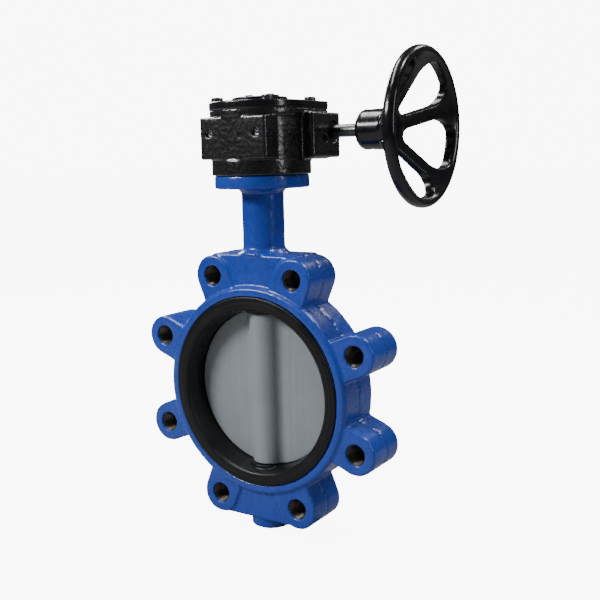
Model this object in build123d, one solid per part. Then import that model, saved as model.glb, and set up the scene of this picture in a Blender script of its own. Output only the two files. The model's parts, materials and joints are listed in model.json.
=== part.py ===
from build123d import *
import math
import os

# Lug-type butterfly valve, DN 150, with a quadrant worm gearbox and a dished handwheel.
# +X points from the stem to the handwheel, +Y along the pipe, +Z up the stem.
# The origin is the centre of the bore. All sizes are in millimetres.

# ---- clearances ----
shaft_gap = 0.05            # radial running clearance of a shaft in its bush
soft_gap = 0.35             # around moving parts that rubber surrounds
axial_gap = 0.3             # between faces that turn past each other
screw_gap = 0.5             # below the end of a screw in its hole
cutter = 1.0                # how far a cut runs past the face that it opens

# ---- rubber seat ----
seat_bore_r = 78.2
seat_half = 28.0            # half of the 56 mm face to face length
seat_mouth_r = seat_bore_r + 2.6
seat_mouth_depth = 1.5
seat_face_r = seat_bore_r + 4.4
seat_wall_r = seat_bore_r + 7.8
seat_lip_r = seat_wall_r + 7.3
seat_lip_depth = 6.0
seat_throat_half = seat_half / 2
seat_tongue_r = seat_wall_r + 4.0
seat_tongue_half = 9.0

# ---- disc and stems ----
stem_r = 9.5
disc_gap = 0.4
disc_r = seat_bore_r - disc_gap
disc_half = 4.5             # half the thickness of the plate
hub_r = stem_r + 7.5
hub_blend = 9.0
hub_flat_r = hub_r + 3.7    # flats that end the hub, top and bottom
hub_half = math.sqrt(disc_r ** 2 - hub_flat_r ** 2)
square_half = stem_r - 2.5  # half the width across the flats of the driving square
square_length = 28.0
round_grip = 35.0           # length of each stem's round part in the disc
square_high = hub_half - round_grip
square_low = square_high - square_length
lower_stem_high = -square_high

# ---- body casting ----
ring_wall = 9.2
ring_r = seat_lip_r + ring_wall
ring_half = seat_half - 1.0
ring_chamfer = 2.5
lug_count = 8
lug_reach = 17.5            # from the ring to the lug holes
bolt_circle = 2 * (ring_r + lug_reach)
lug_hole_r = 10.0           # M20
lug_r = lug_hole_r + 10.0
lug_root = ring_r - 16.0    # how far the lugs, webs and bosses reach into the ring
lug_half = seat_half - 3.5  # half the length of a lug along the pipe
lug_edge = 2.0
lug_step = math.pi / lug_count
web_x = bolt_circle / 2 * math.sin(lug_step)
web_half = lug_half - 2.0
web_top = bolt_circle / 2 * math.cos(lug_step) + 22.0
web_bottom = -bolt_circle / 2 * math.cos(lug_step) - lug_r + 0.6     # almost level with the lugs
bearing_r = stem_r + 2.5    # bore of the casting for the stem bushes
neck_r = bearing_r + 8.2
neck_flare = 5.0            # where the neck leaves the web
foot_r = bearing_r + 8.5    # round boss below the lower stem bearing
foot_z = web_bottom - 10.4
bearing_floor = web_bottom + 18.4
lower_stem_low = bearing_floor + axial_gap
neck_length = 62.0
top_flange_low = web_top + neck_length
top_flange_high = top_flange_low + 12.5
top_flange_fillet = 4.0
base_screw_circle = 70.0
base_screw_r = 4.0          # M8
base_screw_head_r = 7.8
base_screw_head = 4.4
base_screw_length = 21.0
top_flange_r = base_screw_circle / 2 + 10.0

# ---- stem bearings and seal ----
lower_bush = (bearing_floor + 4.0, -seat_tongue_r - 1.0)
middle_bush = (seat_tongue_r + 6.0, web_top - 9.0)
upper_bush = (top_flange_low - 31.0, top_flange_low - 1.0)
packing_height = 6.0
packing_split = 0.2         # gap between the two packing rings
washer_height = 1.5
clip_height = 1.5
clip_groove_r = bearing_r + 1.2
clip_split = 4.0            # width of the ring's opening
packing_low = upper_bush[1]
washer_low = packing_low + packing_height
clip_low = washer_low + washer_height
plug_r = bearing_r - 4.0
plug_recess = 2.0
plug_length = 14.0
plug_socket = 8.0           # across the flats of its socket
plug_socket_depth = 7.0

# ---- worm drive ----
worm_teeth = 28
gear_module = 2.0
worm_pitch_r = 8.0
worm_addendum = 1.6
wheel_pitch_r = gear_module * worm_teeth / 2
wheel_tip_r = wheel_pitch_r + worm_addendum
worm_tip_r = worm_pitch_r + worm_addendum
worm_y = wheel_pitch_r + worm_pitch_r
worm_tooth = 2.7            # thickness of the thread on the pitch line
worm_half = 17.0            # half the length of the thread
lead = math.pi * gear_module
lead_angle = math.degrees(math.atan(gear_module / (2 * worm_pitch_r)))
gap_width = lead - worm_tooth - 0.08    # width of a tooth gap of the quadrant on the pitch line
gap_depth = worm_addendum + 0.4
flank = math.tan(math.radians(20))
quadrant_half = 6.0         # half the face width of the teeth
journal_r = stem_r + 5.5
quadrant_hub_r = journal_r + 4.0
sector_pitches = 12         # teeth on the quadrant
# with the valve closed the sector lies evenly about 45 degrees, and it ends within a tooth
sector_start = 45 - sector_pitches * 180 / worm_teeth
sector_end = 90 - sector_start
stop_y = wheel_tip_r * math.sin(math.radians(sector_start)) - axial_gap
shaft_r = 6.0
tunnel_r = worm_tip_r + 1.2
collar_r = tunnel_r - 2.2
collar_start = worm_half + 4.0
collar_width = 3.0

# ---- gearbox housing ----
base_high = top_flange_high + 14.5
chamber_floor = base_high + 4.0
worm_z = chamber_floor + 20.5
barrel_high = worm_z + 15.5
rim_high = barrel_high + 5.4
chamber_r = wheel_tip_r + 3.4
barrel_r = chamber_r + 13.0
base_r = barrel_r + 1.0
rim_r = barrel_r + 1.5
rear_y = worm_y + tunnel_r + 3.2    # rear wall of the worm chamber
rim_rear_y = rear_y - 2.0
corner_r = 6.0
wall_sink = 0.6 * chamber_r         # how far the pad and the nose reach into the barrel
stop_screw_r = 4.0                  # M8
stop_screw_x = wheel_tip_r * math.cos(math.radians(sector_start)) + 1.2
stop_screw_recess = 3.5
stop_point_r = 2.5
stop_point = 3.0
pad_half = stop_screw_x + 11.0      # half the width of the front pad
pad_low = base_high + 0.5
pad_high = barrel_high - 1.5
edge_r = 3.0                        # rounding of the pad and of the nose
nose_x = barrel_r + 12.0            # face that the worm shaft leaves through
nose_front_y = worm_y - 35.0
nose_high = barrel_high + 2.0
bush_wall = 2.0
bush_room_r = journal_r + shaft_gap + bush_wall
bush_floor = top_flange_high + 4.5
cover_gasket_height = 0.6
cover_low = rim_high + cover_gasket_height
cover_high = cover_low + 7.0
cover_r = rim_r + 0.5
cover_rear_y = rim_rear_y + 0.5
cover_bolt_r = 3.0                  # M6
cover_bolt_across = 10.0
cover_bolt_head = 4.2
cover_bolt_depth = 7.0
front_bolt = (chamber_r + rim_r) / 2 * math.sqrt(0.5)
rear_bolt = (rim_r - 12.5, rim_rear_y - 15.0)
cover_bolt_places = [(-front_bolt, -front_bolt), (front_bolt, -front_bolt), rear_bolt,
                     (-rear_bolt[0], rear_bolt[1])]
journal_seal_height = 2.8
nose_bush_end = nose_x - 7.0
seal_width = 5.0
end_plug_width = 6.0
end_plug_socket = 10.0
end_plug_socket_depth = 3.5
grease_plug_r = 4.0
grease_plug_y = worm_y - tunnel_r - 3.2
grease_plug_z = worm_z - tunnel_r + 3.8
grease_plug_length = 8.0
grease_plug_recess = 1.5
socket_depth = 3.0                  # of the small set screws and plugs
stem_top = cover_high - 9.0
key_width = 6.0
key_height = 6.0
key_depth = 3.5                     # sunk in the stem
key_low = chamber_floor + 6.0
key_high = stem_top - 8.0

# ---- position indicator ----
indicator_lift = 0.6                # above the cover
indicator_low = cover_high + indicator_lift
indicator_high = indicator_low + 3.6
indicator_screw_r = 2.0
indicator_screw_x = stem_r + 2.8
indicator_screw_head_r = 3.6
indicator_screw_head = 3.0
indicator_screw_depth = 8.0
indicator_screw_socket = 3.0        # across the flats
indicator_r = indicator_screw_x + 13.7
pointer_height = 1.6
pointer_width = 7.0
pointer_head = 9.0                  # length of the arrow head

# ---- handwheel ----
wheel_hub_r = shaft_r + 12.5
wheel_hub_low = nose_x + 31.0
wheel_hub_high = wheel_hub_low + 32.5
wheel_hub_round = 6.0
wheel_bore_high = wheel_hub_high - 7.5
wheel_pin_r = 2.5
wheel_pin_x = wheel_hub_low + 11.0
rim_mid_r = 66.9
rim_half_x = 6.0                    # half the section of the rim along its axis
rim_half_r = 4.5
wheel_x = wheel_hub_high + 29.9     # plane of the rim
spoke_count = 5
spoke_start = 18.0                  # first spoke, measured from +Y towards +Z
spoke_half = 6.5
dish_inner_r = wheel_hub_r - 4.0
dish_outer_r = rim_mid_r - 2.0
dish_hub_back = wheel_hub_high - 8.5
dish_rim_back = wheel_x - 5.6
dish_rim_thick = 10.4
window_inner_r = wheel_hub_r + 0.5
window_outer_r = rim_mid_r - rim_half_r
window_round = 14.0

from_low = (Align.CENTER, Align.CENTER, Align.MIN)


# ---- plain shapes ----
def rod_z(radius, low, high, x=0.0, y=0.0):
    return Pos(x, y, low) * Cylinder(radius, high - low, align=from_low)


def rod_y(radius, low, high, x=0.0, z=0.0):
    return Pos(x, low, z) * Rot(-90, 0, 0) * Cylinder(radius, high - low, align=from_low)


def rod_x(radius, low, high, y=0.0, z=0.0):
    return Pos(low, y, z) * Rot(0, 90, 0) * Cylinder(radius, high - low, align=from_low)


def tube_z(outer, inner, low, high):
    return rod_z(outer, low, high) - rod_z(inner, low - cutter, high + cutter)


def worm_rod(radius, low, high):
    return rod_x(radius, low, high, worm_y, worm_z)


def worm_tube(outer, inner, low, high):
    return worm_rod(outer, low, high) - worm_rod(inner, low - cutter, high + cutter)


def block(x, y, z):
    middle = ((x[0] + x[1]) / 2, (y[0] + y[1]) / 2, (z[0] + z[1]) / 2)
    return Pos(*middle) * Box(x[1] - x[0], y[1] - y[0], z[1] - z[0])


def hexagon_z(across, low, high, x=0.0, y=0.0):
    outline = RegularPolygon(across / math.sqrt(3), 6)
    return Pos(x, y, low) * extrude(outline, high - low)


def hexagon_x(across, low, high, y=0.0, z=0.0):
    return Pos(low, y, z) * Rot(0, 90, 0) * extrude(RegularPolygon(across / math.sqrt(3), 6), high - low)


def hexagon_y(across, low, high, x=0.0, z=0.0):
    return Pos(x, low, z) * Rot(-90, 0, 0) * extrude(RegularPolygon(across / math.sqrt(3), 6), high - low)


def turned(points, axis):
    return revolve(make_face(Polyline(*points, close=True)), axis)


def countersunk_screw(radius, head_r, head, length, x, y, low):
    # flat head at the bottom, thread pointing up, with a hexagon socket
    body = rod_z(radius, low, low + length, x, y)
    cone = Pos(x, y, low + head / 2) * Cone(head_r, radius, head)
    return body + cone - hexagon_z(radius * 1.2, low - cutter, low + head - cutter, x, y)


# ---- body ----
def valve_body():
    body = rod_y(ring_r, -ring_half, ring_half)
    body = chamfer(body.edges().filter_by(GeomType.CIRCLE), ring_chamfer)
    for number in range(lug_count):
        body += Rot(0, -(number + 0.5) * 360 / lug_count, 0) * lug()
    body += web(lug_root, web_top) + web(-lug_root, web_bottom)
    foot = rod_z(foot_r, foot_z, -lug_root)
    body += chamfer(foot.edges().group_by(Axis.Z)[0], lug_edge / 2)
    body += rod_z(neck_r, lug_root, top_flange_low + top_flange_fillet)
    body += Pos(0, 0, web_top + neck_flare / 2) * Cone(neck_r + neck_flare, neck_r, neck_flare)
    body += body_flange()
    for number in range(lug_count):
        angle = (2 * number + 1) * lug_step
        x = bolt_circle / 2 * math.cos(angle)
        z = bolt_circle / 2 * math.sin(angle)
        body -= rod_y(lug_hole_r, -lug_half - cutter, lug_half + cutter, x, z)
    body -= seat_room()
    body -= rod_z(bearing_r, seat_bore_r, top_flange_high + cutter)
    body -= rod_z(clip_groove_r, clip_low, clip_low + clip_height)
    body -= rod_z(bearing_r, bearing_floor, -seat_bore_r)
    body -= rod_z(plug_r, foot_z - cutter, bearing_floor + cutter)
    for x, y in ring_places(base_screw_circle, 4):
        hole = rod_z(base_screw_r + axial_gap, top_flange_low - cutter, top_flange_high + cutter, x, y)
        sink = Cone(base_screw_head_r + axial_gap, base_screw_r + axial_gap, base_screw_head)
        body -= hole + Pos(x, y, top_flange_low + base_screw_head / 2) * sink
    return body


def lug():
    # one lug at +X, rounded outwards
    shape = block((lug_root, bolt_circle / 2), (-lug_half, lug_half), (-lug_r, lug_r))
    shape += rod_y(lug_r, -lug_half, lug_half, bolt_circle / 2)
    ends = shape.faces().sort_by(Axis.Y)
    return fillet(ends[0].outer_wire().edges() + ends[-1].outer_wire().edges(), lug_edge)


def web(inner_z, outer_z):
    # joins the two lugs at the top or at the bottom of the ring
    low, high = min(inner_z, outer_z), max(inner_z, outer_z)
    shape = block((-web_x, web_x), (-web_half, web_half), (low, high))
    outer = shape.edges().filter_by(Axis.X).group_by(Axis.Z)
    return fillet(outer[-1] if outer_z > 0 else outer[0], lug_edge)


def body_flange():
    flange = rod_z(top_flange_r, top_flange_low, top_flange_high)
    flange = chamfer(flange.edges().filter_by(GeomType.CIRCLE), 1.0)
    cone = Pos(0, 0, top_flange_low - top_flange_fillet / 2)
    return flange + cone * Cone(neck_r, neck_r + top_flange_fillet, top_flange_fillet)


def ring_places(circle, count):
    places = []
    for number in range(count):
        angle = math.radians((number + 0.5) * 360 / count)
        places.append((circle / 2 * math.cos(angle), circle / 2 * math.sin(angle)))
    return places


def seat_outline(reach):
    # outer outline of the seat in its half plane: radius, then place along the pipe
    shelf = seat_half - seat_lip_depth
    side = [(seat_tongue_r, seat_tongue_half), (seat_wall_r, seat_tongue_half), (seat_wall_r, shelf)]
    side += [(seat_lip_r, shelf), (seat_lip_r, reach)]
    return [(r, -y) for r, y in reversed(side)] + side


def seat_room():
    reach = seat_half + cutter
    return turned(seat_outline(reach) + [(0, reach), (0, -reach)], Axis.Y)


def seat_liner():
    inner = [(seat_face_r, seat_half), (seat_mouth_r, seat_half - seat_mouth_depth),
             (seat_bore_r, seat_throat_half)]
    inner += [(r, -y) for r, y in reversed(inner)]
    liner = turned(seat_outline(seat_half) + inner, Axis.Y)
    # flat pads that the ends of the hub turn on
    pad_low, pad_high = hub_half + soft_gap, seat_mouth_r
    liner += rod_z(hub_flat_r - soft_gap, pad_low, pad_high)
    liner += rod_z(hub_flat_r - soft_gap, -pad_high, -pad_low)
    return liner - rod_z(stem_r + soft_gap, -seat_tongue_r - cutter, seat_tongue_r + cutter)


def stem_bush(ends):
    return tube_z(bearing_r, stem_r + shaft_gap, ends[0], ends[1])


def stem_packing():
    # two rubber rings, one on the other
    half = packing_height / 2
    lower = tube_z(bearing_r, stem_r + soft_gap, packing_low, packing_low + half - packing_split)
    upper = tube_z(bearing_r, stem_r + soft_gap, packing_low + half, packing_low + packing_height)
    return Compound(children=[lower, upper])


def packing_washer():
    return tube_z(bearing_r, stem_r + soft_gap, washer_low, washer_low + washer_height)


def retaining_ring():
    clip_high = clip_low + clip_height
    ring = tube_z(clip_groove_r, stem_r + soft_gap, clip_low, clip_high)
    half = clip_split / 2
    opening = block((0, clip_groove_r + cutter), (-half, half), (clip_low - cutter, clip_high + cutter))
    return ring - opening


def bottom_plug():
    low = foot_z + plug_recess
    plug = rod_z(plug_r, low, low + plug_length)
    return plug - hexagon_z(plug_socket, low - cutter, low + plug_socket_depth)


# ---- disc and stems ----
def disc():
    outline = Rectangle(2 * (disc_r + cutter), 2 * disc_half) + Circle(hub_r)
    inside = [v for v in outline.vertices() if abs(v.X) < hub_r + cutter]
    outline = fillet(inside, hub_blend)
    plate = Pos(0, 0, -hub_half) * extrude(outline, 2 * hub_half)
    plate = plate & Sphere(disc_r)
    fit = stem_r + shaft_gap
    plate -= rod_z(fit, square_high, hub_half + cutter)
    plate -= rod_z(fit, -hub_half - cutter, lower_stem_high)
    square = square_half + shaft_gap
    plate -= block((-square, square), (-square, square), (square_low - cutter, square_high + cutter))
    return plate


def upper_stem():
    high = square_high + cutter
    square = block((-square_half, square_half), (-square_half, square_half), (square_low, high))
    square &= rod_z(stem_r, square_low, high)
    stem = rod_z(stem_r, square_high + axial_gap, stem_top)
    stem = chamfer(stem.edges().group_by(Axis.Z)[-1], 1.0) + square
    return stem - stem_key()


def lower_stem():
    stem = rod_z(stem_r, lower_stem_low, lower_stem_high)
    return chamfer(stem.edges().filter_by(GeomType.CIRCLE), 1.0)


def stem_key():
    # parallel key on the -X side of the stem
    inner = key_depth - stem_r
    return block((inner - key_height, inner), (-key_width / 2, key_width / 2), (key_low, key_high))


# ---- worm quadrant ----
def worm_quadrant():
    quadrant = rod_z(quadrant_hub_r, chamber_floor + axial_gap, rim_high - axial_gap)
    quadrant += rod_z(journal_r, bush_floor + cutter, indicator_low)
    quadrant += quadrant_sector()
    for number in range(worm_teeth):
        angle = 90 + number * 360 / worm_teeth
        if sector_start < (angle + 90) % 360 - 90 < sector_end:
            quadrant -= Rot(0, 0, angle - 90) * tooth_gap()
    quadrant -= rod_z(stem_r + shaft_gap, bush_floor, stem_top + cutter)
    keyway = key_depth - stem_r - key_height - shaft_gap
    quadrant -= block((keyway, 0), (-key_width / 2, key_width / 2), (key_low, stem_top + cutter))
    for x in (-indicator_screw_x, indicator_screw_x):
        low = indicator_low - indicator_screw_depth
        quadrant -= rod_z(indicator_screw_r, low, indicator_low + cutter, x)
    return quadrant


def quadrant_sector():
    reach = 2 * wheel_tip_r
    middle = (sector_start + sector_end) / 2
    corners = [(0, 0)]
    for angle in (sector_start, middle, sector_end):
        corners.append((reach * math.cos(math.radians(angle)), reach * math.sin(math.radians(angle))))
    wedge = extrude(make_face(Polyline(*corners, close=True)), 2 * quadrant_half)
    wedge = Pos(0, 0, worm_z - quadrant_half) * wedge
    return wedge & rod_z(wheel_tip_r, worm_z - quadrant_half, worm_z + quadrant_half)


def tooth_gap():
    # one gap between teeth at the +Y side, leaning with the worm's thread
    low = wheel_pitch_r - gap_depth
    high = wheel_pitch_r + 2 * worm_addendum
    low_half = gap_width / 2 - gap_depth * flank
    high_half = gap_width / 2 + 2 * worm_addendum * flank
    corners = [(-low_half, low), (low_half, low), (high_half, high), (-high_half, high)]
    outline = make_face(Polyline(*corners, close=True))
    gap = Pos(0, 0, -2 * quadrant_half) * extrude(outline, 4 * quadrant_half)
    return Pos(0, 0, worm_z) * Rot(0, -lead_angle, 0) * gap


def worm_shaft():
    shaft = rod_x(shaft_r, -barrel_r + end_plug_width + axial_gap, wheel_bore_high - axial_gap)
    path = Helix(lead, 2 * worm_half, shaft_r)
    root_half = worm_tooth / 2 + (worm_pitch_r - shaft_r) * flank
    tip_half = worm_tooth / 2 - worm_addendum * flank
    height = worm_tip_r - shaft_r
    sunk = 0.4
    start = Plane(origin=(shaft_r, 0, 0), x_dir=(1, 0, 0), z_dir=(0, 1, 0))
    corners = [(-sunk, -root_half), (height, -tip_half), (height, tip_half), (-sunk, root_half)]
    section = start * make_face(Polyline(*corners, close=True))
    thread = sweep(section, path, is_frenet=True)
    # midway along, the thread crosses the side of the worm that faces the quadrant
    turns = worm_half / lead
    thread = Rot(0, 0, 270 - 360 * (turns % 1)) * Pos(0, 0, -worm_half) * thread
    shaft += Rot(0, 90, 0) * thread
    for low in (collar_start, -collar_start - collar_width):
        shaft += rod_x(collar_r, low, low + collar_width)
    return Pos(0, worm_y, worm_z) * shaft - pin_room()


# ---- gearbox ----
def d_plate(radius, rear, low, high):
    # round towards the front, square with rounded corners over the worm
    outline = Circle(radius) + Pos(0, rear / 2) * Rectangle(2 * radius, rear)
    corners = [v for v in outline.vertices() if v.Y > rear - 1]
    return Pos(0, 0, low) * extrude(fillet(corners, corner_r), high - low)


def gearbox_housing():
    base = rod_z(base_r, top_flange_high, base_high)
    housing = chamfer(base.edges().filter_by(GeomType.CIRCLE).group_by(Axis.Z)[-1], 1.0)
    housing += d_plate(barrel_r, rear_y, base_high - cutter, barrel_high)
    housing += d_plate(rim_r, rim_rear_y, barrel_high, rim_high)
    pad = block((-pad_half, pad_half), (-barrel_r, -wall_sink), (pad_low, pad_high))
    housing += fillet(pad.edges().filter_by(Axis.Z).group_by(Axis.Y)[0], edge_r)
    nose = block((wall_sink, nose_x), (nose_front_y, rear_y), (base_high, nose_high))
    housing += fillet(nose.edges().group_by(Axis.X)[-1], edge_r)
    housing -= rod_z(chamber_r, chamber_floor, rim_high + cutter)
    housing -= rod_z(bush_room_r, bush_floor, chamber_floor + cutter)
    housing -= rod_z(stem_r + cutter, top_flange_high - cutter, chamber_floor)
    housing -= worm_rod(tunnel_r, -barrel_r - cutter, nose_x + cutter)
    for x in (-stop_screw_x, stop_screw_x):
        housing -= rod_y(stop_screw_r, -barrel_r - cutter, stop_y, x, worm_z)
    for x, y in cover_bolt_places:
        housing -= rod_z(cover_bolt_r, rim_high - cover_bolt_depth, rim_high + cutter, x, y)
    for x, y in ring_places(base_screw_circle, 4):
        high = top_flange_low + base_screw_length
        housing -= rod_z(base_screw_r, top_flange_high - cutter, high, x, y)
    start = nose_x - grease_plug_recess - grease_plug_length
    housing -= rod_x(grease_plug_r, start, nose_x + cutter, grease_plug_y, grease_plug_z)
    return housing


def cover_gasket():
    low, high = rim_high - cutter, cover_low + cutter
    gasket = d_plate(rim_r, rim_rear_y, rim_high, cover_low) - rod_z(chamber_r, low, high)
    for x, y in cover_bolt_places:
        gasket -= rod_z(cover_bolt_r, low, high, x, y)
    return gasket


def gearbox_cover():
    cover = d_plate(cover_r, cover_rear_y, cover_low, cover_high)
    cover = chamfer(cover.edges().group_by(Axis.Z)[-1], 0.8)
    low, high = cover_low - cutter, cover_high + cutter
    cover -= rod_z(bush_room_r, low, high)
    for x, y in cover_bolt_places:
        cover -= rod_z(cover_bolt_r, low, high, x, y)
    return cover


def cover_bolts():
    bolts = []
    for x, y in cover_bolt_places:
        head = hexagon_z(cover_bolt_across, cover_high, cover_high + cover_bolt_head, x, y)
        low = rim_high - cover_bolt_depth + screw_gap
        bolts.append(head + rod_z(cover_bolt_r, low, cover_high, x, y))
    return Compound(children=bolts)


def base_screws():
    screws = []
    for x, y in ring_places(base_screw_circle, 4):
        length = base_screw_length - screw_gap
        screw = countersunk_screw(base_screw_r, base_screw_head_r, base_screw_head, length,
                                  x, y, top_flange_low)
        screws.append(screw)
    return Compound(children=screws)


def stop_screws():
    screws = []
    front = stop_screw_recess - barrel_r
    for x in (-stop_screw_x, stop_screw_x):
        screw = rod_y(stop_screw_r, front, stop_y - stop_point, x, worm_z)
        screw += rod_y(stop_point_r, stop_y - stop_point, stop_y, x, worm_z)
        screws.append(screw - hexagon_y(stop_screw_r, front - cutter, front + socket_depth, x, worm_z))
    return Compound(children=screws)


def housing_bush():
    return tube_z(bush_room_r, journal_r + shaft_gap, bush_floor + screw_gap, chamber_floor)


def cover_bush():
    return tube_z(bush_room_r, journal_r + shaft_gap, cover_low, cover_high - journal_seal_height)


def journal_seal():
    low = cover_high - journal_seal_height
    return tube_z(bush_room_r, journal_r + soft_gap, low, cover_high)


def nose_bush():
    start = collar_start + collar_width + axial_gap
    return worm_tube(tunnel_r, shaft_r + shaft_gap, start, nose_bush_end)


def tail_bush():
    start = end_plug_width - barrel_r
    return worm_tube(tunnel_r, shaft_r + shaft_gap, start, -collar_start - collar_width - axial_gap)


def shaft_seal():
    return worm_tube(tunnel_r, shaft_r + soft_gap, nose_bush_end, nose_bush_end + seal_width)


def end_plug():
    plug = worm_rod(tunnel_r, -barrel_r, end_plug_width - barrel_r)
    high = end_plug_socket_depth - barrel_r
    return plug - hexagon_x(end_plug_socket, -barrel_r - cutter, high, worm_y, worm_z)


def grease_plug():
    high = nose_x - grease_plug_recess
    plug = rod_x(grease_plug_r, high - grease_plug_length, high, grease_plug_y, grease_plug_z)
    low = high - socket_depth
    return plug - hexagon_x(grease_plug_r, low, high + cutter, grease_plug_y, grease_plug_z)


# ---- indicator ----
def position_indicator():
    plate = rod_z(indicator_r, indicator_low, indicator_high)
    plate = chamfer(plate.edges().filter_by(GeomType.CIRCLE).group_by(Axis.Z)[-1], 0.8)
    # the pointer lies along the disc, with its head at +X, and is open over the stem
    tip = indicator_r - 4.0
    neck = tip - pointer_head
    half = pointer_width / 2
    bar = block((-tip, neck), (-half, half), (indicator_high, indicator_high + pointer_height))
    head = make_face(Polyline((neck, -pointer_width), (tip, 0), (neck, pointer_width), close=True))
    bar += Pos(0, 0, indicator_high) * extrude(head, pointer_height)
    plate += bar - rod_z(stem_r - 1.5, indicator_high, indicator_high + pointer_height)
    for x in (-indicator_screw_x, indicator_screw_x):
        high = indicator_high + pointer_height + cutter
        plate -= rod_z(indicator_screw_r, indicator_low - cutter, high, x)
        plate -= rod_z(indicator_screw_head_r + axial_gap, indicator_high, high, x)
    return plate


def indicator_screws():
    screws = []
    low = indicator_low - indicator_screw_depth + screw_gap
    high = indicator_high + indicator_screw_head
    for x in (-indicator_screw_x, indicator_screw_x):
        screw = rod_z(indicator_screw_r, low, indicator_high, x)
        screw += rod_z(indicator_screw_head_r, indicator_high, high, x)
        socket = hexagon_z(indicator_screw_socket, high - indicator_screw_head / 2, high + cutter, x)
        screws.append(screw - socket)
    return Compound(children=screws)


# ---- handwheel ----
def polar(radius, degrees):
    angle = math.radians(degrees)
    return (radius * math.cos(angle), radius * math.sin(angle))


def window_outline():
    # one opening between two spokes, centred on +X of the sketch
    wedge = 180 / spoke_count
    inner_angle = wedge - math.degrees(math.asin(spoke_half / window_inner_r))
    outer_angle = wedge - math.degrees(math.asin(spoke_half / window_outer_r))
    low_in, high_in = polar(window_inner_r, -inner_angle), polar(window_inner_r, inner_angle)
    low_out, high_out = polar(window_outer_r, -outer_angle), polar(window_outer_r, outer_angle)
    outer = ThreePointArc(low_out, (window_outer_r, 0), high_out)
    inner = Line(high_in, low_in)
    face = make_face([Line(low_in, low_out), outer, Line(high_out, high_in), inner])
    corners = face.vertices().sort_by(Axis.X)
    face = fillet(corners[-2:], window_round)
    corners = face.vertices().sort_by(Axis.X)
    return fillet(corners[:2], 0.45 * inner.length)


def handwheel():
    # modelled about its own axis along X, then placed on the worm shaft
    hub = rod_x(wheel_hub_r, wheel_hub_low, wheel_hub_high)
    hub = fillet(hub.edges().filter_by(GeomType.CIRCLE).group_by(Axis.X)[0], wheel_hub_round)
    hub = chamfer(hub.edges().filter_by(GeomType.CIRCLE).group_by(Axis.X)[-1], 1.5)
    outline = [(dish_hub_back, dish_inner_r), (dish_rim_back, dish_outer_r)]
    outline += [(dish_rim_back + dish_rim_thick, dish_outer_r), (wheel_hub_high, dish_inner_r)]
    dish = turned(outline, Axis.X)
    opening = extrude(window_outline(), wheel_x)
    for number in range(spoke_count):
        angle = spoke_start + (number + 0.5) * 360 / spoke_count
        # the sketch's X becomes +Y turned towards +Z by the angle
        dish -= Rot(angle, 0, 0) * Pos(wheel_hub_low, 0, 0) * Rot(0, 90, 0) * Rot(0, 0, 90) * opening
    rim = Plane.XY * Pos(wheel_x, rim_mid_r) * Ellipse(rim_half_x, rim_half_r)
    wheel = hub + dish + revolve(rim, Axis.X)
    wheel -= rod_x(shaft_r + shaft_gap, wheel_hub_low - cutter, wheel_bore_high)
    return Pos(0, worm_y, worm_z) * wheel - pin_room()


def pin_room():
    # the cross hole for the pin, through the hub and the shaft
    return rod_z(wheel_pin_r, worm_z - wheel_hub_r, worm_z + wheel_hub_r, wheel_pin_x, worm_y)


def wheel_pin():
    half = wheel_hub_r - screw_gap
    return rod_z(wheel_pin_r, worm_z - half, worm_z + half, wheel_pin_x, worm_y)


parts = {
    "valve_body": valve_body,
    "seat_liner": seat_liner,
    "lower_stem_bush": lambda: stem_bush(lower_bush),
    "middle_stem_bush": lambda: stem_bush(middle_bush),
    "upper_stem_bush": lambda: stem_bush(upper_bush),
    "stem_packing": stem_packing,
    "packing_washer": packing_washer,
    "retaining_ring": retaining_ring,
    "bottom_plug": bottom_plug,
    "gearbox_housing": gearbox_housing,
    "cover_gasket": cover_gasket,
    "gearbox_cover": gearbox_cover,
    "cover_bolts": cover_bolts,
    "base_screws": base_screws,
    "stop_screws": stop_screws,
    "housing_bush": housing_bush,
    "cover_bush": cover_bush,
    "journal_seal": journal_seal,
    "nose_bush": nose_bush,
    "tail_bush": tail_bush,
    "shaft_seal": shaft_seal,
    "end_plug": end_plug,
    "grease_plug": grease_plug,
    "disc": disc,
    "upper_stem": upper_stem,
    "lower_stem": lower_stem,
    "stem_key": stem_key,
    "worm_quadrant": worm_quadrant,
    "position_indicator": position_indicator,
    "indicator_screws": indicator_screws,
    "worm_shaft": worm_shaft,
    "handwheel": handwheel,
    "wheel_pin": wheel_pin,
}

os.makedirs("parts", exist_ok=True)
for name, make in parts.items():
    export_step(make(), f"parts/{name}.step")
    print(name)
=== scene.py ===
import bpy
import json
import math
from mathutils import Matrix, Vector

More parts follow.
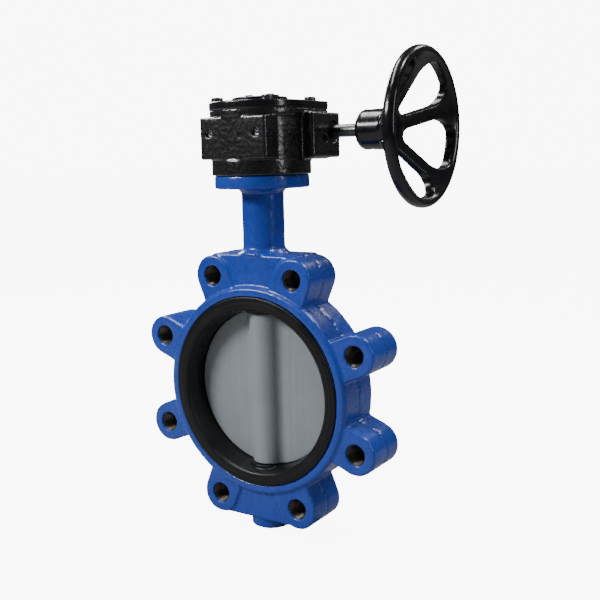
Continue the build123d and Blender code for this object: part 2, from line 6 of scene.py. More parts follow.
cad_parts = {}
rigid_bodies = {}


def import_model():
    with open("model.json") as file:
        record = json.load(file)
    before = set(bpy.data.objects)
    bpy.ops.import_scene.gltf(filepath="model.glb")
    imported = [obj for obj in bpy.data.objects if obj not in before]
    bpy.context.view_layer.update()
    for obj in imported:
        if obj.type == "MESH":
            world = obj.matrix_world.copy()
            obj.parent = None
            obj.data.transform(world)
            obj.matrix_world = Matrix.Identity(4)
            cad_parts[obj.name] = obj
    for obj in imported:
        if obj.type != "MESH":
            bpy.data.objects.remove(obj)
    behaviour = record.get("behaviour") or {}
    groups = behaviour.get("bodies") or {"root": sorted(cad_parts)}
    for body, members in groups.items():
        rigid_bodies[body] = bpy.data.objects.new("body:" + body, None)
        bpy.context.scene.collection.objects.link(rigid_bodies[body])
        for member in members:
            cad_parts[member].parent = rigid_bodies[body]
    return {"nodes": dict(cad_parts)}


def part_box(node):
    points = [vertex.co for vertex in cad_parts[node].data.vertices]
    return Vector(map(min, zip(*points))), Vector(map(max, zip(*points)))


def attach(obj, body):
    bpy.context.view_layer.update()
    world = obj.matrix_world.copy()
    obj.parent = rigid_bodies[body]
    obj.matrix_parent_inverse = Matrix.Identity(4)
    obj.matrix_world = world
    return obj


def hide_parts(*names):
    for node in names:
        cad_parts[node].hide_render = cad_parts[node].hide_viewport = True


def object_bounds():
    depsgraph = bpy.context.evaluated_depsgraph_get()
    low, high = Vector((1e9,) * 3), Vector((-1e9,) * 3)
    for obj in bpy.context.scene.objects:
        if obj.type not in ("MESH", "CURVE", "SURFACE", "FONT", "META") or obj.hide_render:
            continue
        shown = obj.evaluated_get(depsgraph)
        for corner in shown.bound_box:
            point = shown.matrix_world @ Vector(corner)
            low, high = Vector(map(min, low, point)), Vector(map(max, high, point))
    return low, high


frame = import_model()
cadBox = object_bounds()
nodes = frame["nodes"]
mm = 0.001
mergeReach = 0.01 * mm      # points nearer than this are one
beadRadius = 87.4           # of the sealing bead on the seat's faces


def deselectAll():
    active = bpy.context.view_layer.objects.active
    if active and active.mode != "OBJECT":
        bpy.ops.object.mode_set(mode="OBJECT")
    bpy.ops.object.select_all(action="DESELECT")


def pick(piece, *others):
    deselectAll()
    for each in (piece, *others):
        each.select_set(True)
    bpy.context.view_layer.objects.active = piece


def editMesh(piece, mode="VERT"):
    pick(piece)
    bpy.ops.object.mode_set(mode="EDIT")
    bpy.ops.mesh.select_mode(type=mode)
    bpy.ops.mesh.select_all(action="SELECT")


def leaveEdit():
    bpy.ops.object.mode_set(mode="OBJECT")


def useModifier(piece, kind, **values):
    pick(piece)
    modifier = piece.modifiers.new(kind.title(), kind)
    for key, value in values.items():
        setattr(modifier, key, value)
    bpy.ops.object.modifier_apply(modifier=modifier.name)


def selectVertices(piece, test):
    # stays in edit mode, with only the vertices that pass the test selected
    editMesh(piece)
    bpy.ops.mesh.select_all(action="DESELECT")
    leaveEdit()
    for vertex in piece.data.vertices:
        vertex.select = test(vertex)
    bpy.ops.object.mode_set(mode="EDIT")


def selectFaces(piece, test):
    editMesh(piece, "FACE")
    bpy.ops.mesh.select_all(action="DESELECT")
    leaveEdit()
    for face in piece.data.polygons:
        face.select = test(face)
    bpy.ops.object.mode_set(mode="EDIT")


def triangleCount(piece):
    return sum(len(face.vertices) - 2 for face in piece.data.polygons)


def thin(piece, limit):
    count = triangleCount(piece)
    if count > limit:
        useModifier(piece, "DECIMATE", ratio=limit / count)


def joinPieces(first, *others):
    pick(first, *others)
    bpy.ops.object.join()
    return first


def copyTo(piece, places):
    # one copy at each place, joined, and the pattern piece removed
    copies = []
    for spot in places:
        pick(piece)
        bpy.ops.object.duplicate()
        copy = bpy.context.object
        bpy.ops.transform.translate(value=spot)
        copies.append(copy)
    name = piece.name
    bpy.data.objects.remove(piece)
    joined = joinPieces(*copies)
    bpy.ops.object.transform_apply(location=True, rotation=False, scale=False)
    joined.name = joined.data.name = name
    return joined


def copyNode(node, name):
    # a merged copy of the construction mesh, to be worked on
    piece = nodes[node].copy()
    piece.data = nodes[node].data.copy()
    piece.name = name
    piece.data.name = name
    piece.parent = None
    piece.matrix_world = Matrix.Identity(4)
    piece.data.materials.clear()
    bpy.context.scene.collection.objects.link(piece)
    editMesh(piece)
    bpy.ops.mesh.remove_doubles(threshold=mergeReach)
    leaveEdit()
    return piece


def partCentres(node):
    # centre of each separate solid of a node
    piece = copyNode(node, "measure")
    editMesh(piece)
    bpy.ops.mesh.separate(type="LOOSE")
    leaveEdit()
    centres = []
    for part in list(bpy.context.selected_objects):
        corners = [Vector(corner) for corner in part.bound_box]
        centres.append(sum(corners, Vector()) / len(corners))
        bpy.data.objects.remove(part)
    return sorted(centres, key=lambda centre: (round(centre.y, 5), centre.x))      # front row first


def smoothShade(piece, degrees=None):
    # edges sharper than the angle stay crisp, and with no angle none does
    pick(piece)
    if degrees is None:
        bpy.ops.object.shade_smooth()
    else:
        bpy.ops.object.shade_smooth_by_angle(angle=math.radians(degrees))


def roundCast(piece, settings):
    # turns crisp construction edges into the soft edges of a sand casting
    useModifier(piece, "REMESH", mode="VOXEL", voxel_size=settings["voxel"] * mm,
                use_smooth_shade=True)
    useModifier(piece, "SMOOTH", factor=0.5, iterations=settings["rounding"])
    if settings.get("waves"):
        texture = bpy.data.textures.new(piece.name + "Waves", "CLOUDS")
        texture.noise_scale = settings["waveSize"] * mm
        useModifier(piece, "DISPLACE", texture=texture, texture_coords="LOCAL", mid_level=0.5,
                    strength=settings["waves"] * mm)
    thin(piece, settings["triangles"])
    smoothShade(piece)


def drawOutline(name, points):
    # one vertex, extruded from point to point, leaving an open line
    deselectAll()
    bpy.ops.mesh.primitive_plane_add(size=mm)
    piece = bpy.context.object
    piece.name = name
    piece.data.name = name
    editMesh(piece)
    bpy.ops.mesh.merge(type="CENTER")
    bpy.ops.transform.translate(value=Vector(points[0]))
    for start, end in zip(points, points[1:]):
        step = {"value": Vector(end) - Vector(start)}
        bpy.ops.mesh.extrude_vertices_move(TRANSFORM_OT_translate=step)
    bpy.ops.mesh.select_all(action="SELECT")
    bpy.ops.mesh.remove_doubles(threshold=mergeReach)
    leaveEdit()
    return piece


def place(piece, body, material, slotName, *replaced):
    piece.data.materials.clear()
    piece.data.materials.append(material)
    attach(piece, body)
    if replaced:
        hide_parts(*replaced)


def giveMaterial(material, *names):
    for name in names:
        for slot in nodes[name].material_slots:
            slot.material = material


def startMaterial(name, look):
    material = bpy.data.materials.new(name)
    material.use_nodes = True
    shader = material.node_tree.nodes["Principled BSDF"]
    shader.inputs["Base Color"].default_value = (*look["color"], 1)
    shader.inputs["Metallic"].default_value = look.get("metallic", 0.0)
    shader.inputs["Roughness"].default_value = look["roughness"]
    shader.inputs["Specular IOR Level"].default_value = look.get("specular", 0.5)
    shader.inputs["Coat Weight"].default_value = look.get("coat", 0.0)
    shader.inputs["Coat Roughness"].default_value = look.get("coatRoughness", 0.1)
    coords = material.node_tree.nodes.new("ShaderNodeTexCoord")
    return material, material.node_tree, shader, coords.outputs["Object"]


def addNode(tree, kind, inputs=None, **values):
    node = tree.nodes.new(kind)
    for key, value in values.items():
        setattr(node, key, value)
    for key, value in (inputs or {}).items():
        if hasattr(value, "is_output"):
            tree.links.new(value, node.inputs[key])
        else:
            node.inputs[key].default_value = value
    return node


def addNoise(tree, coords, scale, detail=3.0, roughness=0.55):
    inputs = {"Vector": coords, "Scale": scale, "Detail": detail, "Roughness": roughness}
    return addNode(tree, "ShaderNodeTexNoise", inputs).outputs["Fac"]


def stretch(tree, coords, scale):
    return addNode(tree, "ShaderNodeMapping", {"Vector": coords, "Scale": scale}).outputs["Vector"]


def remap(tree, value, low, high, outLow, outHigh):
    inputs = {"Value": value, "From Min": low, "From Max": high, "To Min": outLow, "To Max": outHigh}
    return addNode(tree, "ShaderNodeMapRange", inputs).outputs["Result"]


def mixColors(tree, factor, first, second):
    node = addNode(tree, "ShaderNodeMix", data_type="RGBA")
    tree.links.new(factor, node.inputs[0])
    for socket, value in ((node.inputs[6], first), (node.inputs[7], second)):
        if hasattr(value, "is_output"):
            tree.links.new(value, socket)
        else:
            socket.default_value = (*value, 1)
    return node.outputs[2]


def addBump(tree, height, strength, distance, normal=None):
    inputs = {"Height": height, "Strength": strength, "Distance": distance * mm}
    if normal:
        inputs["Normal"] = normal
    return addNode(tree, "ShaderNodeBump", inputs).outputs["Normal"]


paintTexture = {"slowScale": 28, "slowBump": 0.35, "slowDepth": 1.2, "toneRange": (0.35, 0.65),
                "dustRange": (0.62, 0.8), "glossRange": (0.3, 0.7), "smoother": 0.06, "rougher": 0.08,
                "grainDepth": 0.5, "peelDepth": 0.35, "pitDepth": 0.3, "pitReach": 0.28}


def castPaint(name, look):
    # glossy paint over a rough casting: slow waves, orange peel, and shallow pits
    texture = paintTexture
    material, tree, shader, coords = startMaterial(name, look)
    slow = addNoise(tree, coords, texture["slowScale"], detail=2)
    peel = addNoise(tree, coords, look["peelScale"], detail=2, roughness=0.5)
    grain = addNoise(tree, coords, look["grainScale"], detail=3, roughness=0.6)
    cells = addNode(tree, "ShaderNodeTexVoronoi", {"Vector": coords, "Scale": look["pitScale"]})
    pits = remap(tree, cells.outputs["Distance"], 0.0, texture["pitReach"], 0.0, 1.0)
    tone = remap(tree, slow, *texture["toneRange"], 0.0, 1.0)
    shade = mixColors(tree, tone, look["color"], look["secondColor"])
    dust = remap(tree, grain, *texture["dustRange"], 0.0, look["dust"])
    tree.links.new(mixColors(tree, dust, shade, look["dustColor"]), shader.inputs["Base Color"])
    rough = remap(tree, peel, *texture["glossRange"], look["roughness"] - texture["smoother"],
                  look["roughness"] + texture["rougher"])
    tree.links.new(rough, shader.inputs["Roughness"])
    normal = addBump(tree, slow, texture["slowBump"], texture["slowDepth"])
    normal = addBump(tree, grain, look["grainBump"], texture["grainDepth"], normal)
    normal = addBump(tree, peel, look["peelBump"], texture["peelDepth"], normal)
    normal = addBump(tree, pits, look["pitBump"], texture["pitDepth"], normal)
    tree.links.new(normal, shader.inputs["Normal"])
    tree.links.new(normal, shader.inputs["Coat Normal"])
    return material


def ringMask(tree, coords, radius, half):
    # one on a ring about the Y axis and zero away from it
    flat = addNode(tree, "ShaderNodeVectorMath", {0: coords, 1: (1, 0, 1)}, operation="MULTIPLY")
    reach = addNode(tree, "ShaderNodeVectorMath", {0: flat.outputs[0]}, operation="LENGTH")
    away = addNode(tree, "ShaderNodeMath", {0: reach.outputs["Value"], 1: radius * mm},
                   operation="SUBTRACT")
    away = addNode(tree, "ShaderNodeMath", {0: away.outputs[0]}, operation="ABSOLUTE")
    solidShare = 0.4        # how much of the ring's half width has its full colour
    return remap(tree, away.outputs[0], solidShare * half * mm, half * mm, 1.0, 0.0)


rubberTexture = {"cloudScale": 40, "cloudBump": 0.15, "cloudDepth": 0.6, "grainScale": 900,
                 "grainBump": 0.12, "grainDepth": 0.08, "rubbedRange": (0.5, 0.75),
                 "glossRange": (0.3, 0.7), "smoother": 0.08, "rougher": 0.12}


def mouldedRubber(name, look):
    # matt rubber with a fine moulded grain and paler rubbed patches
    texture = rubberTexture
    material, tree, shader, coords = startMaterial(name, look)
    cloud = addNoise(tree, coords, texture["cloudScale"], detail=4)
    grain = addNoise(tree, coords, texture["grainScale"], detail=2)
    rubbed = remap(tree, cloud, *texture["rubbedRange"], 0.0, 1.0)
    shade = mixColors(tree, rubbed, look["color"], look["secondColor"])
    if "ring" in look:
        mask = ringMask(tree, coords, look["ring"], look["ringHalf"])
        shade = mixColors(tree, mask, shade, look["ringColor"])
    tree.links.new(shade, shader.inputs["Base Color"])
    rough = remap(tree, cloud, *texture["glossRange"], look["roughness"] - texture["smoother"],
                  look["roughness"] + texture["rougher"])
    tree.links.new(rough, shader.inputs["Roughness"])
    normal = addBump(tree, cloud, texture["cloudBump"], texture["cloudDepth"])
    normal = addBump(tree, grain, texture["grainBump"], texture["grainDepth"], normal)
    tree.links.new(normal, shader.inputs["Normal"])
    return material


satinTexture = {"streaks": (260, 260, 9), "streakShare": 0.55, "speckleScale": 1400, "speckleBump": 0.1,
                "speckleDepth": 0.06, "cloudScale": 22, "cloudShare": 0.5, "cloudBump": 0.12,
                "cloudDepth": 0.8, "streakRange": (0.3, 0.7), "cloudRange": (0.45, 0.75),
                "glossRange": (0.3, 0.7), "smoother": 0.06, "rougher": 0.1}


def satinCoat(name, look):
    # smooth satin coating with faint vertical streaks and fine speckle
    texture = satinTexture
    material, tree, shader, coords = startMaterial(name, look)
    streaks = addNoise(tree, stretch(tree, coords, texture["streaks"]), scale=1, detail=3)
    speckle = addNoise(tree, coords, texture["speckleScale"], detail=2)
    cloud = addNoise(tree, coords, texture["cloudScale"], detail=3)
    tone = remap(tree, streaks, *texture["streakRange"], 0.0, texture["streakShare"])
    shade = mixColors(tree, tone, look["color"], look["secondColor"])
    patch = remap(tree, cloud, *texture["cloudRange"], 0.0, texture["cloudShare"])
    tree.links.new(mixColors(tree, patch, shade, look["thirdColor"]), shader.inputs["Base Color"])
    rough = remap(tree, cloud, *texture["glossRange"], look["roughness"] - texture["smoother"],
                  look["roughness"] + texture["rougher"])
    tree.links.new(rough, shader.inputs["Roughness"])
    normal = addBump(tree, speckle, texture["speckleBump"], texture["speckleDepth"])
    normal = addBump(tree, cloud, texture["cloudBump"], texture["cloudDepth"], normal)
    tree.links.new(normal, shader.inputs["Normal"])
    return material


metalTexture = {"ringDistortion": 1.5, "ringDetail": 2.0, "ringDepth": 0.05, "cloudScale": 90,
                "cloudBump": 0.08, "cloudDepth": 0.2, "stainRange": (0.48, 0.75),
                "glossRange": (0.25, 0.75), "smoother": 0.08, "rougher": 0.18}


def turnedMetal(name, look):
    # bare metal with the lathe's fine rings across its axis and a few dull marks
    texture = metalTexture
    material, tree, shader, coords = startMaterial(name, look)
    waves = {"Vector": coords, "Scale": look["ringScale"], "Distortion": texture["ringDistortion"],
             "Detail": texture["ringDetail"], "Detail Scale": texture["ringDetail"]}
    rings = addNode(tree, "ShaderNodeTexWave", waves, bands_direction=look["along"]).outputs["Fac"]
    cloud = addNoise(tree, coords, texture["cloudScale"], detail=4)
    stain = remap(tree, cloud, *texture["stainRange"], 0.0, look["stain"])
    shade = mixColors(tree, stain, look["color"], look["secondColor"])
    tree.links.new(shade, shader.inputs["Base Color"])
    rough = remap(tree, cloud, *texture["glossRange"], look["roughness"] - texture["smoother"],
                  look["roughness"] + texture["rougher"])
    tree.links.new(rough, shader.inputs["Roughness"])
    normal = addBump(tree, rings, look["ringBump"], texture["ringDepth"])
    normal = addBump(tree, cloud, texture["cloudBump"], texture["cloudDepth"], normal)
    tree.links.new(normal, shader.inputs["Normal"])
    return material


fibreTexture = {"fibres": (900, 500, 700), "contrast": 0.7, "bump": 0.3, "depth": 0.1}


def pressedFibre(name, look):
    # pressed sheet, with short fibres a little longer one way than the other
    texture = fibreTexture
    material, tree, shader, coords = startMaterial(name, look)
    fibres = addNoise(tree, stretch(tree, coords, texture["fibres"]), scale=1, detail=4,
                      roughness=texture["contrast"])
    shade = mixColors(tree, fibres, look["color"], look["secondColor"])
    tree.links.new(shade, shader.inputs["Base Color"])
    normal = addBump(tree, fibres, texture["bump"], texture["depth"])
    tree.links.new(normal, shader.inputs["Normal"])
    return material


blueEpoxy = castPaint("blueEpoxy", {
    "color": (0.017, 0.067, 0.47), "secondColor": (0.013, 0.057, 0.40), "dustColor": (0.07, 0.16, 0.50),
    "dust": 0.2, "roughness": 0.30, "specular": 0.45, "coat": 0.4, "coatRoughness": 0.1,
    "peelScale": 160, "peelBump": 0.06, "grainScale": 110, "grainBump": 0.05, "pitScale": 260,
    "pitBump": 0.0})
blackEnamel = castPaint("blackEnamel", {
    "color": (0.005, 0.005, 0.0065), "secondColor": (0.009, 0.009, 0.011),
    "dustColor": (0.035, 0.033, 0.037), "dust": 0.5, "roughness": 0.28, "specular": 0.5,
    "coat": 0.5, "coatRoughness": 0.14, "peelScale": 330, "peelBump": 0.62, "grainScale": 190,
    "grainBump": 0.35, "pitScale": 330, "pitBump": 0.15})
wheelEnamel = castPaint("wheelEnamel", {
    "color": (0.0035, 0.0035, 0.005), "secondColor": (0.006, 0.006, 0.009),
    "dustColor": (0.03, 0.03, 0.032), "dust": 0.15, "roughness": 0.20, "specular": 0.35,
    "coat": 0.35, "coatRoughness": 0.08, "peelScale": 180, "peelBump": 0.06, "grainScale": 90,
    "grainBump": 0.06, "pitScale": 300, "pitBump": 0.0})
coverEnamel = castPaint("coverEnamel", {
    "color": (0.0035, 0.0035, 0.006), "secondColor": (0.007, 0.007, 0.010),
    "dustColor": (0.03, 0.03, 0.034), "dust": 0.15, "roughness": 0.22, "specular": 0.35,
    "coat": 0.4, "coatRoughness": 0.08, "peelScale": 420, "peelBump": 0.3, "grainScale": 160,
    "grainBump": 0.25, "pitScale": 420, "pitBump": 0.12})
seatRubber = mouldedRubber("seatRubber", {
    "color": (0.004, 0.0045, 0.006), "secondColor": (0.010, 0.010, 0.012), "roughness": 0.33,
    "specular": 0.34, "ring": beadRadius, "ringHalf": 0.7, "ringColor": (0.016, 0.0095, 0.0095)})
sealRubber = mouldedRubber("sealRubber", {
    "color": (0.012, 0.012, 0.012), "secondColor": (0.03, 0.03, 0.03), "roughness": 0.5})
discGrey = satinCoat("discGrey", {
    "color": (0.29, 0.325, 0.355), "secondColor": (0.36, 0.395, 0.425), "thirdColor": (0.25, 0.28, 0.305),
    "roughness": 0.42})
stemSteel = turnedMetal("stemSteel", {
    "color": (0.15, 0.15, 0.155), "secondColor": (0.07, 0.068, 0.065), "metallic": 1.0, "roughness": 0.24,
    "ringScale": 900, "ringBump": 0.15, "stain": 0.6, "along": "X"})
uprightSteel = turnedMetal("uprightSteel", {
    "color": (0.50, 0.50, 0.51), "secondColor": (0.33, 0.32, 0.30), "metallic": 1.0, "roughness": 0.28,
    "ringScale": 900, "ringBump": 0.15, "stain": 0.5, "along": "Z"})
zincSteel = turnedMetal("zincSteel", {
    "color": (0.62, 0.63, 0.65), "secondColor": (0.42, 0.42, 0.40), "metallic": 1.0, "roughness": 0.3,
    "ringScale": 500, "ringBump": 0.06, "stain": 0.7, "along": "Z"})
boltSteel = turnedMetal("boltSteel", {
    "color": (0.16, 0.16, 0.17), "secondColor": (0.08, 0.078, 0.075), "metallic": 1.0, "roughness": 0.25,
    "ringScale": 500, "ringBump": 0.06, "stain": 0.8, "along": "Z"})
blackSteel = turnedMetal("blackSteel", {
    "color": (0.02, 0.02, 0.021), "secondColor": (0.05, 0.045, 0.04), "metallic": 0.7, "roughness": 0.36,
    "ringScale": 500, "ringBump": 0.08, "stain": 0.8, "along": "X"})
oiledThread = turnedMetal("oiledThread", {
    "color": (0.11, 0.10, 0.085), "secondColor": (0.03, 0.028, 0.024), "metallic": 0.9, "roughness": 0.3,
    "ringScale": 700, "ringBump": 0.08, "stain": 1.0, "along": "Y"})
bushBronze = turnedMetal("bushBronze", {
    "color": (0.55, 0.36, 0.14), "secondColor": (0.33, 0.20, 0.08), "metallic": 1.0, "roughness": 0.32,
    "ringScale": 700, "ringBump": 0.12, "stain": 0.6, "along": "Z"})
quadrantIron = turnedMetal("quadrantIron", {
    "color": (0.16, 0.16, 0.165), "secondColor": (0.07, 0.06, 0.045), "metallic": 0.9, "roughness": 0.38,
    "ringScale": 300, "ringBump": 0.1, "stain": 0.9, "along": "Z"})
gasketFibre = pressedFibre("gasketFibre", {
    "color": (0.03, 0.03, 0.032), "secondColor": (0.075, 0.07, 0.065), "roughness": 0.8})

giveMaterial(bushBronze, "lower_stem_bush", "middle_stem_bush", "upper_stem_bush", "housing_bush",
             "cover_bush", "nose_bush", "tail_bush")
giveMaterial(sealRubber, "stem_packing", "journal_seal", "shaft_seal")
giveMaterial(gasketFibre, "cover_gasket")
giveMaterial(uprightSteel, "upper_stem", "lower_stem", "packing_washer", "retaining_ring", "stem_key",
             "bottom_plug")
giveMaterial(stemSteel, "worm_shaft")
giveMaterial(quadrantIron, "worm_quadrant")
giveMaterial(zincSteel, "base_screws")
giveMaterial(blackSteel, "wheel_pin")
print("materials made")


bodyCasting = {"voxel": 1.1, "rounding": 4, "waves": 0.5, "waveSize": 9, "triangles": 190000,
               "seamHalf": 1.2, "seamRise": 0.55, "seamSlope": 0.4, "seamBurr": 0.6,
               "burrShare": 0.35, "burrSeed": 4, "recessClear": 3, "stemClear": 2, "holeClear": 12,
               "boltCircle": 240, "lugs": 8}


def lugPlaces():
    reach = bodyCasting["boltCircle"] / 2 * mm
    step = 2 * math.pi / bodyCasting["lugs"]
    return [Vector((reach * math.cos((n + 0.5) * step), 0, reach * math.sin((n + 0.5) * step)))
            for n in range(bodyCasting["lugs"])]


def raiseSeam(casting):
    # the fin left where the two halves of the mould met, all round the outside
    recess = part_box("seat_liner")[1].x + bodyCasting["recessClear"] * mm
    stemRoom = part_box("middle_stem_bush")[1].x + bodyCasting["stemClear"] * mm
    holes = lugPlaces()

    def onSeam(vertex):
        spot = vertex.co
        if abs(spot.y) > bodyCasting["seamHalf"] * mm or abs(vertex.normal.y) > bodyCasting["seamSlope"]:
            return False
        if min((spot - hole).length for hole in holes) < bodyCasting["holeClear"] * mm:
            return False
        return math.hypot(spot.x, spot.z) > recess and abs(spot.x) > stemRoom

    selectVertices(casting, onSeam)
    bpy.ops.transform.shrink_fatten(value=-bodyCasting["seamRise"] * mm)
    bpy.ops.mesh.select_random(ratio=1 - bodyCasting["burrShare"], seed=bodyCasting["burrSeed"],
                               action="DESELECT")
    bpy.ops.transform.shrink_fatten(value=-bodyCasting["seamBurr"] * mm)
    leaveEdit()


def makeBody():
    casting = copyNode("valve_body", "bodyCasting")
    roundCast(casting, bodyCasting)
    raiseSeam(casting)
    place(casting, "valve", blueEpoxy, "body_epoxy", "valve_body")


makeBody()
print("body casting made")


lugThread = {"root": 9.6, "crest": 8.7, "pitch": 2.5, "flat": 0.4, "turns": 19, "steps": 26,
             "weld": 0.02, "wall": 0.8, "smooth": 40}


def makeLugThreads():
    # M20 thread in each lug, one turned and the rest copied
    start = -lugThread["turns"] * lugThread["pitch"] / 2
    middle = start + lugThread["pitch"] / 2
    half = lugThread["flat"] / 2
    root, crest = lugThread["root"], lugThread["crest"]
    end = start + lugThread["pitch"]
    tooth = [(root, start), (root, start + half), (crest, middle - half),
             (crest, middle + half), (root, end - half), (root, end)]
    thread = drawOutline("lugThreads", [(reach * mm, along * mm, 0) for reach, along in tooth])
    useModifier(thread, "SCREW", axis="Y", angle=2 * math.pi, steps=lugThread["steps"],
                render_steps=lugThread["steps"], screw_offset=lugThread["pitch"] * mm,
                iterations=lugThread["turns"] - 1)
    editMesh(thread)
    bpy.ops.mesh.remove_doubles(threshold=lugThread["weld"] * mm)
    bpy.ops.mesh.normals_make_consistent(inside=False)
    leaveEdit()
    face = thread.data.polygons[0]
    if face.normal.dot(Vector((face.center.x, 0, face.center.z))) > 0:
        editMesh(thread)
        bpy.ops.mesh.flip_normals()
        leaveEdit()
    useModifier(thread, "SOLIDIFY", thickness=lugThread["wall"] * mm, offset=-1)
    smoothShade(thread, lugThread["smooth"])
    threads = copyTo(thread, lugPlaces())
    place(threads, "valve", oiledThread, "plain_steel")


makeLugThreads()
print("lug threads made")


rubberSeat = {"voxel": 0.85, "rounding": 3, "triangles": 190000, "bead": 0.9, "beadSink": 0.45,
              "beadSteps": 180, "beadSides": 12}


def makeSeat():
    # moulded seat with a sealing bead round each face
    seat = copyNode("seat_liner", "rubberSeat")
    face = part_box("seat_liner")[1].y
    beads = []
    for side in (-1, 1):
        deselectAll()
        bpy.ops.mesh.primitive_torus_add(major_radius=beadRadius * mm,
                                         minor_radius=rubberSeat["bead"] * mm,
                                         major_segments=rubberSeat["beadSteps"],
                                         minor_segments=rubberSeat["beadSides"],
                                         location=(0, side * (face - rubberSeat["beadSink"] * mm), 0),
                                         rotation=(math.pi / 2, 0, 0))
        beads.append(bpy.context.object)
    joinPieces(seat, *beads)
    roundCast(seat, rubberSeat)
    place(seat, "valve", seatRubber, "seat_rubber", "seat_liner")


makeSeat()
print("rubber seat made")


discPlate = {"voxel": 0.85, "rounding": 4, "triangles": 150000}


def makeDisc():
    plate = copyNode("disc", "discPlate")
    roundCast(plate, discPlate)
    place(plate, "disc_group", discGrey, "disc_coating", "disc")


makeDisc()
print("disc made")


gearboxCasting = {"voxel": 0.95, "rounding": 3, "waves": 0.42, "waveSize": 3.4, "triangles": 195000}


def makeGearbox():
    casting = copyNode("gearbox_housing", "gearboxCasting")
    roundCast(casting, gearboxCasting)
    place(casting, "valve", blackEnamel, "gearbox_paint", "gearbox_housing")


coverPlate = {"voxel": 0.7, "rounding": 3, "triangles": 90000, "smooth": 50, "ticks": 7, "tickSpan": 90,
              "tickRadius": 31.0, "tickLength": 5.0, "tickWidth": 1.3, "tickRise": 0.5, "tickEdge": 0.25}


def makeCover():
    # cover with a plain scale of raised marks beside the pointer's travel
    cover = copyNode("gearbox_cover", "coverPlate")
    roundCast(cover, coverPlate)
    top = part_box("gearbox_cover")[1].z
    reach = coverPlate["tickRadius"] * mm
    step = math.radians(coverPlate["tickSpan"]) / (coverPlate["ticks"] - 1)
    marks = []
    for number in range(coverPlate["ticks"]):
        angle = number * step
        spot = (reach * math.cos(angle), reach * math.sin(angle), top)
        deselectAll()
        bpy.ops.mesh.primitive_cube_add(size=mm, location=spot, rotation=(0, 0, angle))
        mark = bpy.context.object
        mark.scale = (coverPlate["tickLength"], coverPlate["tickWidth"], 2 * coverPlate["tickRise"])
        bpy.ops.object.transform_apply(location=True, rotation=True, scale=True)
        useModifier(mark, "BEVEL", width=coverPlate["tickEdge"] * mm, segments=2)
        marks.append(mark)
    joinPieces(cover, *marks)
    smoothShade(cover, coverPlate["smooth"])
    place(cover, "valve", coverEnamel, "gearbox_paint", "gearbox_cover")


makeGearbox()
makeCover()
print("gearbox made")


hexBolt = {"flats": 10.0, "head": 3.4, "crown": 0.7, "washer": 6.3, "washerHeight": 0.8, "shank": 3.0,
           "turn": 0.3, "headEdge": 0.25, "roundEdge": 0.2, "edgeAngle": 25, "topSlope": 0.9,
           "sides": 40, "smooth": 30}


def makeCoverBolts():
    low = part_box("cover_bolts")[0].z
    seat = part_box("gearbox_cover")[1].z
    centres = partCentres("cover_bolts")
    radius = hexBolt["flats"] / 2 / math.cos(math.pi / 6) * mm
    headLow = seat + hexBolt["washerHeight"] * mm
    deselectAll()
    bpy.ops.mesh.primitive_cylinder_add(vertices=6, radius=radius, depth=hexBolt["head"] * mm,
                                        location=(0, 0, headLow + hexBolt["head"] / 2 * mm),
                                        rotation=(0, 0, hexBolt["turn"]))
    head = bpy.context.object
    bpy.ops.object.transform_apply(location=True, rotation=True, scale=True)
    selectFaces(head, lambda face: face.normal.z > hexBolt["topSlope"])
    bpy.ops.mesh.bevel(offset=hexBolt["crown"] * mm, segments=1, affect="EDGES")
    leaveEdit()
    useModifier(head, "BEVEL", width=hexBolt["headEdge"] * mm, segments=2, limit_method="ANGLE",
                angle_limit=math.radians(hexBolt["edgeAngle"]))
    rings = ((hexBolt["washer"], seat, headLow), (hexBolt["shank"], low, headLow))
    parts = []
    for size, bottom, top in rings:
        deselectAll()
        bpy.ops.mesh.primitive_cylinder_add(vertices=hexBolt["sides"], radius=size * mm, depth=top - bottom,
                                            location=(0, 0, (bottom + top) / 2))
        part = bpy.context.object
        bpy.ops.object.transform_apply(location=True, rotation=True, scale=True)
        useModifier(part, "BEVEL", width=hexBolt["roundEdge"] * mm, segments=2, limit_method="ANGLE")
        parts.append(part)
    joinPieces(head, *parts)
    head.name = head.data.name = "coverBolts"
    smoothShade(head, hexBolt["smooth"])
    bolts = copyTo(head, [Vector((centre.x, centre.y, 0)) for centre in centres])
    place(bolts, "valve", boltSteel, "black_steel", "cover_bolts")


makeCoverBolts()
print("cover bolts made")


smallCasts = (
    {"node": "position_indicator", "name": "indicatorPlate", "body": "disc_group", "slot": "gearbox_paint",
     "voxel": 0.42, "rounding": 2, "triangles": 90000},
    {"node": "indicator_screws", "name": "indicatorScrews", "body": "disc_group", "slot": "zinc_steel",
     "voxel": 0.26, "rounding": 2, "triangles": 30000},
    {"node": "stop_screws", "name": "stopScrews", "body": "valve", "slot": "zinc_steel",
     "voxel": 0.36, "rounding": 2, "triangles": 30000},
    {"node": "end_plug", "name": "endPlug", "body": "valve", "slot": "black_steel",
     "voxel": 0.4, "rounding": 2, "triangles": 30000},
    {"node": "grease_plug", "name": "greasePlug", "body": "valve", "slot": "black_steel",
     "voxel": 0.3, "rounding": 2, "triangles": 30000})


def makeSmallCasts():
    finishes = {"gearbox_paint": coverEnamel, "zinc_steel": zincSteel, "black_steel": blackSteel}
    for small in smallCasts:
        piece = copyNode(small["node"], small["name"])
        roundCast(piece, small)
        place(piece, small["body"], finishes[small["slot"]], small["slot"], small["node"])


makeSmallCasts()
print("indicator, screws and plugs made")


wheelCasting = {"voxel": 0.9, "rounding": 9, "waves": 0.2, "waveSize": 14, "triangles": 190000}


def makeHandwheel():
    wheel = copyNode("handwheel", "wheelCasting")
    roundCast(wheel, wheelCasting)
    place(wheel, "handwheel_group", wheelEnamel, "wheel_paint", "handwheel")


makeHandwheel()
print("handwheel made")


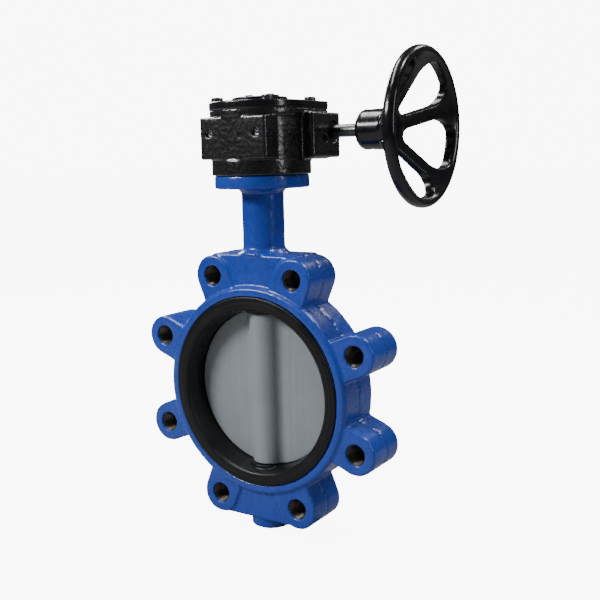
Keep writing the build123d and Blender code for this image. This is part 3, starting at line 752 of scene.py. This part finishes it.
camera = {"azimuth": 33.09, "elevation": 9.19, "roll": -1.41, "distance": 840.0,
          "target": (39.73, -0.26, 89.0), "lens": 53.1, "sensor": 36.0, "farClip": 50}
lamps = [
    {"name": "overheadStrip", "at": (-0.35, -0.10, 1.25), "aim": (0, 0, 0.1), "size": (1.0, 0.2),
     "power": 9.0},
    {"name": "keyBox", "at": (-0.74, -1.02, 0.86), "aim": (0, 0, 0.1), "size": (0.6, 0.28), "power": 18.5},
    {"name": "sideStrip", "at": (1.22, -0.15, 0.58), "aim": (0, 0, 0.5), "size": (0.14, 0.74),
     "power": 3.2},
    {"name": "glintBox", "at": (0.55, 0.15, 1.20), "aim": (0, 0, 0), "size": (0.2, 0.2), "power": 5.0},
    {"name": "backBox", "at": (0.45, 1.20, 1.35), "aim": (0, 0, 0.1), "size": (0.5, 0.5), "power": 6.0},
    {"name": "backFill", "at": (-1.30, 0.75, 0.90), "aim": (0, 0, 0.1), "size": (0.5, 0.5), "power": 14.0}]
floorSettings = {"size": 40.0, "color": (0.30, 0.30, 0.30), "roughness": 0.9, "glow": 8.8}
backdrop = {"seen": 9.0, "lighting": 0.10}


def makeFloor():
    deselectAll()
    bpy.ops.mesh.primitive_plane_add(size=floorSettings["size"], location=(0, 0, cadBox[0][2]))
    floor = bpy.context.object
    floor.name = "studioFloor"
    material = bpy.data.materials.new("paleFloor")
    material.use_nodes = True
    shader = material.node_tree.nodes["Principled BSDF"]
    shader.inputs["Base Color"].default_value = (*floorSettings["color"], 1)
    shader.inputs["Roughness"].default_value = floorSettings["roughness"]
    shader.inputs["Emission Color"].default_value = (1, 1, 1, 1)
    path = addNode(material.node_tree, "ShaderNodeLightPath").outputs["Is Camera Ray"]
    glow = remap(material.node_tree, path, 0.0, 1.0, 0.0, floorSettings["glow"])
    material.node_tree.links.new(glow, shader.inputs["Emission Strength"])
    floor.data.materials.append(material)


def makeLamps():
    for lamp in lamps:
        light = bpy.data.lights.new(lamp["name"], "AREA")
        light.shape = "RECTANGLE"
        light.size, light.size_y = lamp["size"]
        light.energy = lamp["power"]
        holder = bpy.data.objects.new(lamp["name"], light)
        holder.location = lamp["at"]
        beam = Vector(lamp["aim"]) - Vector(lamp["at"])
        holder.rotation_euler = beam.to_track_quat("-Z", "Y").to_euler()
        bpy.context.scene.collection.objects.link(holder)


def makeWorld():
    # a white backdrop to look at, and a dimmer one to light and reflect
    world = bpy.data.worlds.new("studioWorld")
    world.use_nodes = True
    tree = world.node_tree
    seen = tree.nodes["Background"]
    seen.inputs["Color"].default_value = (1, 1, 1, 1)
    seen.inputs["Strength"].default_value = backdrop["seen"]
    dim = {"Color": (1, 1, 1, 1), "Strength": backdrop["lighting"]}
    lighting = addNode(tree, "ShaderNodeBackground", dim)
    path = addNode(tree, "ShaderNodeLightPath")
    mix = addNode(tree, "ShaderNodeMixShader", {"Fac": path.outputs["Is Camera Ray"]})
    tree.links.new(lighting.outputs["Background"], mix.inputs[1])
    tree.links.new(seen.outputs["Background"], mix.inputs[2])
    tree.links.new(mix.outputs["Shader"], tree.nodes["World Output"].inputs["Surface"])
    bpy.context.scene.world = world


def makeCamera():
    turn = math.radians(camera["azimuth"])
    tilt = math.radians(camera["elevation"])
    roll = math.radians(camera["roll"])
    back = Vector((math.sin(turn) * math.cos(tilt), -math.cos(turn) * math.cos(tilt), math.sin(tilt)))
    right = Vector((math.cos(turn), math.sin(turn), 0))
    up = back.cross(right)
    rolledRight = math.cos(roll) * right + math.sin(roll) * up
    rolledUp = math.cos(roll) * up - math.sin(roll) * right
    data = bpy.data.cameras.new("viewCamera")
    data.lens = camera["lens"]
    data.sensor_width = camera["sensor"]
    data.clip_end = camera["farClip"]
    holder = bpy.data.objects.new("viewCamera", data)
    basis = Matrix((rolledRight, rolledUp, back)).transposed().to_4x4()
    standpoint = Vector(camera["target"]) * mm + back * camera["distance"] * mm
    holder.matrix_world = Matrix.Translation(standpoint) @ basis
    bpy.context.scene.collection.objects.link(holder)
    bpy.context.scene.camera = holder


makeFloor()
makeLamps()
makeWorld()
makeCamera()
print("studio made")
